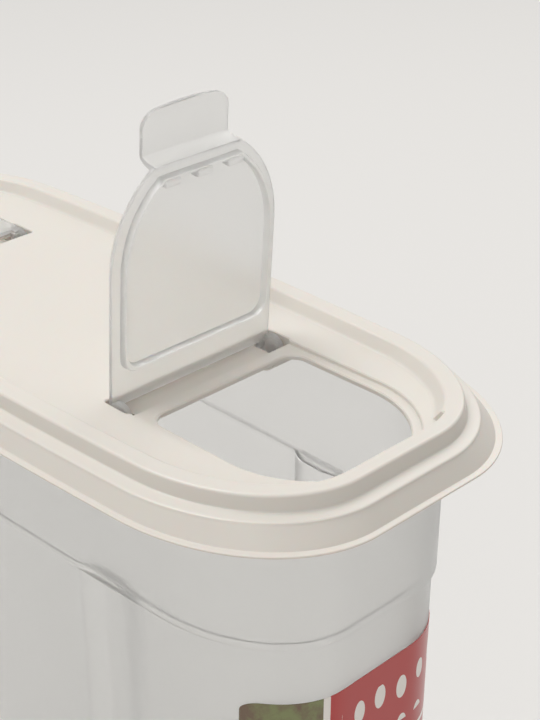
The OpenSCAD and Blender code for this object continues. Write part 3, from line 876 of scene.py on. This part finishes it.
def build_flap(name, tub, lid, flaps, hinge, half_w, clear):
    """A flap, closed, at the +X end: plate, rib, beads, ears, pins and tab as one body."""
    under = LID_TOP - lid.panel_drop - POCKET_DEPTH + flaps.gap
    top = under + flaps.plate
    hinge_z = top - flaps.ear_r
    far = flap_end(tub, lid)
    tab_w, r = half_w - 14 * MM, 0.3 * MM

    def plate(outward):
        inner = half_w - 3.5 * MM - outward
        back, front = hinge - MM - outward, hinge + MM - outward
        return arch(flaps, hinge - MM, far, half_w, outward, 20) + [
            (back, -inner), (front, -inner), (front, inner), (back, inner)]

    body = block(name, [(under, -r), (under + 0.1 * MM, -0.1 * MM), (under + r, 0.0),
                        (top - r, 0.0), (top - 0.1 * MM, -0.1 * MM), (top, -r)], plate)
    body.data.materials.append(clear)
    rib_back, rib_in, rib_t, rib_h = 10.8 * MM, 2.7 * MM, 1.5 * MM, 2.0 * MM

    def rib_line(outward):
        plan = arch(flaps, hinge + rib_back - rib_in, far, half_w, outward - rib_in, 20)
        return round_corners(plan, (0, len(plan) - 1), 4.4 * MM, 8)

    half_t, probe = rib_t / 2, 0.5 * MM
    middle = rib_line(-half_t)
    pulls = {"side_pull": [((b[0] - a[0]) / probe, (b[1] - a[1]) / probe, 0.0)
                           for a, b in zip(middle, rib_line(-half_t + probe))]}
    profile = [(x, 0.0, z, 0.0, 0.0) for x, z in (
        (-half_t, under + 0.3 * MM), (half_t, under + 0.3 * MM),
        (half_t - 0.1 * MM, under - rib_h + 0.5 * MM), (half_t - 0.4 * MM, under - rib_h),
        (-half_t + 0.4 * MM, under - rib_h), (-half_t + 0.1 * MM, under - rib_h + 0.5 * MM))]
    rib = sweep(name + "_rib", middle, pulls, profile, clear, closed=True)
    bead_w, bead_l, bead_h = 5.6 * MM, 2.2 * MM, 2.7 * MM
    bead = block(name + "_beads", [
        (under + 0.3 * MM, 0.0), (under - bead_h + 0.8 * MM, 0.0),
        (under - bead_h + 0.3 * MM, -0.25 * MM), (under - bead_h, -0.7 * MM)],
        box_plan(-bead_l / 2, bead_l / 2, bead_w / 2, 0.9 * MM))
    step = tab_w - 3.8 * MM
    grow(bead, beads_tree(), {
        "Count": 3, "Start": (far - rib_in - 1.2 * MM, -step, 0.0), "Step": (0.0, step, 0.0),
        "Material": clear})
    parts = [rib, bead, tab_mesh(name + "_tab", lid, flaps, far, under, tab_w)]
    ear, thick, pin = flaps.ear_r, 1.8 * MM, flaps.pin_r
    reach = flaps.gap + EAR_ROOM + 2.2 * MM
    profile = [(2.6 * MM, -thick + 0.5 * MM), (2.8 * MM, -thick + 0.2 * MM), (3.0 * MM, -thick),
               (ear - r, -thick), (ear, -thick + r), (ear, -r), (ear - r, 0.0), (pin, 0.0),
               (pin, reach - 0.4 * MM), (pin - 0.3 * MM, reach)]
    for side in (-1, 1):
        parts.append(lathe(name + "_ear", [(rad, side * (half_w + y)) for rad, y in profile],
                           (hinge, 0.0, hinge_z)))
    combine(body, parts, "UNION")
    body.data.materials.clear()
    body.data.materials.append(clear)
    return body, hinge_z


def build_flaps(tub, lid, flaps, colours):
    """The front flap, standing open, and the rear flap, closed."""
    # Natural polypropylene, thin and moulded: nearly clear, with a soft gloss
    clear = moulded("Natural polypropylene, moulded flap", colours.flap, 0.3,
                    mottle=0.008, peel=0.08, scale=800.0, transmission=0.8, ior=1.42)
    front, hinge_z = build_flap(
        "front_flap_shell", tub, lid, flaps, flaps.front_hinge, flaps.front_half_w, clear)
    pivot = Matrix.Translation((flaps.front_hinge, 0.0, hinge_z))
    turn(front, pivot @ Matrix.Rotation(-flaps.front_open, 4, "Y") @ pivot.inverted())
    rear, _ = build_flap(
        "rear_flap_shell", tub, lid, flaps, flaps.rear_hinge, flaps.rear_half_w, clear)
    turn(rear, Matrix.Rotation(math.pi, 4, "Z"))
    for piece, body in ((front, "front_flap"), (rear, "rear_flap")):
        soften(piece, 35)
        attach(piece, body)
        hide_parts(body)


# Label


def build_label(tub, label, colours):
    """A paper sheet that follows the front wall and its two corners."""
    top = tub.height - tub.band_h - label.drop
    steps, rows, radius = 60, 12, 3 * MM

    def wall_point(share, z, out):
        """A point on the wall at a height, from the near side round to the far side."""
        inward = tub.ledge_in + (tub.height - z) * DRAFT - out
        line = around(quarter(tub.half_len - inward, tub.half_w - inward, tub.corner_len - inward,
                              tub.corner_w - inward, tub.side_bow, [0.0, tub.half_len * 0.5], 60))
        y = share * label.reach
        return (x_at([p for p in line if p[0] > tub.half_len * 0.4], y), y, z)

    verts = []
    shares = [math.sin(math.pi / 2 * (2 * i / steps - 1)) for i in range(steps + 1)]
    clearance = 0.03 * MM
    for out in (clearance, clearance + label.paper * 0.9):
        for share in shares:
            edge = (1 - abs(share)) * label.reach
            cut = radius - math.sqrt(max(0.0, radius ** 2 - (radius - min(edge, radius)) ** 2))
            for j in range(rows + 1):
                z = top - cut - (label.height - 2 * cut) * (j / rows)
                verts.append(wall_point(share, z, out))
    per, size = rows + 1, (steps + 1) * (rows + 1)
    faces = []
    for a in (i * per + j for i in range(steps) for j in range(rows)):
        faces += [(a, a + 1, a + per + 1, a + per),
                  (a + size, a + size + per, a + size + per + 1, a + size + 1)]
    edges = [(i * per + j, per) for i in range(steps) for j in (0, rows)]
    edges += [(i * per + j, 1) for i in (0, steps) for j in range(rows)]
    faces += [(a, a + go, a + go + size, a + size) for a, go in edges]
    # Gloss-coated paper, printed: flat colours under a thin bright coat
    paper = printed_paper("Coated paper, printed label", colours, top)
    sheet = tidy_mesh(add_object("label_sheet", verts, faces, paper))
    soften(sheet, 40)
    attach(sheet, "tub")
    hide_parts("front_label")


# Stage


def looked_at(tree):
    """One where the floor or the room is seen directly, in a gloss or through a clear wall."""
    path = add_node(tree, "ShaderNodeLightPath")
    gloss = add_node(tree, "ShaderNodeMath", {
        0: path.outputs["Is Glossy Ray"], 1: path.outputs["Is Transmission Ray"]},
        operation="MAXIMUM")
    return add_node(tree, "ShaderNodeMath", {
        0: path.outputs["Is Camera Ray"], 1: gloss.outputs[0]}, operation="MAXIMUM").outputs[0]


def build_stage(colours):
    """A plain floor, soft lamps and the camera."""
    scene = bpy.context.scene
    pale, half = (*colours.stage, 1.0), 6.0
    ground = bpy.data.materials.new("Plain paper floor")
    tree = bare_tree(ground)
    paper = add_node(tree, "ShaderNodeBsdfDiffuse", {"Color": pale})
    glow = add_node(tree, "ShaderNodeEmission", {"Color": pale, "Strength": 1.0})
    share = add_node(tree, "ShaderNodeMath", {0: looked_at(tree), 1: 0.55}, operation="MULTIPLY")
    shader = add_node(tree, "ShaderNodeMixShader", {
        0: share.outputs[0], 1: paper.outputs[0], 2: glow.outputs[0]})
    add_node(tree, "ShaderNodeOutputMaterial", {"Surface": shader.outputs[0]})
    corners = [(-half, -half, 0), (half, -half, 0), (half, half, 0), (-half, half, 0)]
    floor = add_object("floor", corners, [(0, 1, 2, 3)], ground)
    scene.world = bpy.data.worlds.new("Pale room")
    tree = bare_tree(scene.world)
    sky, seen = (add_node(tree, "ShaderNodeBackground", {"Color": pale, "Strength": strength})
                 for strength in (0.5, 1.0))
    both = add_node(tree, "ShaderNodeMixShader", {
        0: looked_at(tree), 1: sky.outputs[0], 2: seen.outputs[0]})
    add_node(tree, "ShaderNodeOutputWorld", {"Surface": both.outputs[0]})
    for name, place, size, power in (("key", (-0.5, -0.15, 1.7), 0.9, 14.0),
                                     ("fill", (0.9, -1.3, 0.9), 0.9, 5.0),
                                     ("back", (-0.2, 1.2, 1.2), 1.0, 5.0)):
        lamp = bpy.data.lights.new(name, "AREA")
        lamp.shape = "DISK"
        lamp.size = size
        lamp.energy = power
        made = bpy.data.objects.new(name, lamp)
        scene.collection.objects.link(made)
        made.location = place
        aim = Vector((0.0, 0.0, 0.2)) - Vector(place)
        made.rotation_euler = aim.to_track_quat("-Z", "Y").to_euler()
    eye = Vector((337.04 * MM, -261.53 * MM, 444.75 * MM))
    azimuth, tilt = math.radians(45.07), math.radians(27.87)
    back = Vector((math.sin(azimuth) * math.cos(tilt),
                   -math.cos(azimuth) * math.cos(tilt), math.sin(tilt)))
    right = Vector((math.cos(azimuth), math.sin(azimuth), 0.0))
    up = back.cross(right)
    view = bpy.data.cameras.new("camera")
    view.sensor_fit = "HORIZONTAL"
    view.sensor_width = 36.0
    focal, across = 1646.92, 540
    view.lens = focal / across * view.sensor_width
    view.clip_start = 0.01
    view.clip_end = 30.0
    camera = bpy.data.objects.new("camera", view)
    scene.collection.objects.link(camera)
    camera.matrix_world = Matrix.Translation(eye) @ Matrix((right, up, back)).transposed().to_4x4()
    scene.camera = camera
    scene.view_settings.view_transform = "Standard"


# Add-on


class RICE_BIN_OT_tub(bpy.types.Operator):
    """Makes the translucent tub"""
    bl_idname = "rice_bin.tub"
    bl_label = "Tub"

    def execute(self, context):
        build_tub(context.scene.rice_bin_tub, context.scene.rice_bin_colours)
        return {"FINISHED"}


class RICE_BIN_OT_lid(bpy.types.Operator):
    """Makes the lid with its pockets and gutters"""
    bl_idname = "rice_bin.lid"
    bl_label = "Lid"

    def execute(self, context):
        scene = context.scene
        build_lid(scene.rice_bin_tub, scene.rice_bin_lid, scene.rice_bin_flaps,
                  scene.rice_bin_colours)
        return {"FINISHED"}


class RICE_BIN_OT_flaps(bpy.types.Operator):
    """Makes the front and the rear flap"""
    bl_idname = "rice_bin.flaps"
    bl_label = "Flaps"

    def execute(self, context):
        scene = context.scene
        build_flaps(scene.rice_bin_tub, scene.rice_bin_lid, scene.rice_bin_flaps,
                    scene.rice_bin_colours)
        return {"FINISHED"}


class RICE_BIN_OT_label(bpy.types.Operator):
    """Makes the printed paper label"""
    bl_idname = "rice_bin.label"
    bl_label = "Label"

    def execute(self, context):
        scene = context.scene
        build_label(scene.rice_bin_tub, scene.rice_bin_label, scene.rice_bin_colours)
        return {"FINISHED"}


class RICE_BIN_OT_stage(bpy.types.Operator):
    """Sets the floor, the lamps and the camera"""
    bl_idname = "rice_bin.stage"
    bl_label = "Stage"

    def execute(self, context):
        build_stage(context.scene.rice_bin_colours)
        return {"FINISHED"}


STEPS = (RICE_BIN_OT_tub, RICE_BIN_OT_lid, RICE_BIN_OT_flaps, RICE_BIN_OT_label, RICE_BIN_OT_stage)


class RICE_BIN_PT_panel(bpy.types.Panel):
    """Lists the steps and the sizes"""
    bl_label = "Rice bin"
    bl_idname = "RICE_BIN_PT_panel"
    bl_space_type = "VIEW_3D"
    bl_region_type = "UI"
    bl_category = "Rice bin"

    def draw(self, context):
        for step in STEPS:
            self.layout.operator(step.bl_idname)
        for group in GROUPS:
            held = getattr(context.scene, group)
            column = self.layout.column(heading=group.replace("_", " "))
            for key in held.bl_rna.properties.keys():
                if key not in ("rna_type", "name"):
                    column.prop(held, key)


GROUPS = {
    "rice_bin_tub": RiceBinTub,
    "rice_bin_lid": RiceBinLid,
    "rice_bin_flaps": RiceBinFlaps,
    "rice_bin_label": RiceBinLabel,
    "rice_bin_colours": RiceBinColours,
}


def register():
    for held in (*GROUPS.values(), *STEPS, RICE_BIN_PT_panel):
        bpy.utils.register_class(held)
    for name, held in GROUPS.items():
        setattr(bpy.types.Scene, name, PointerProperty(type=held))


def unregister():
    for name in GROUPS:
        delattr(bpy.types.Scene, name)
    for held in (RICE_BIN_PT_panel, *STEPS[::-1], *list(GROUPS.values())[::-1]):
        bpy.utils.unregister_class(held)


def main():
    register()
    bpy.ops.rice_bin.tub()
    bpy.ops.rice_bin.lid()
    bpy.ops.rice_bin.flaps()
    bpy.ops.rice_bin.label()
    bpy.ops.rice_bin.stage()


if __name__ == "__main__":
    main()
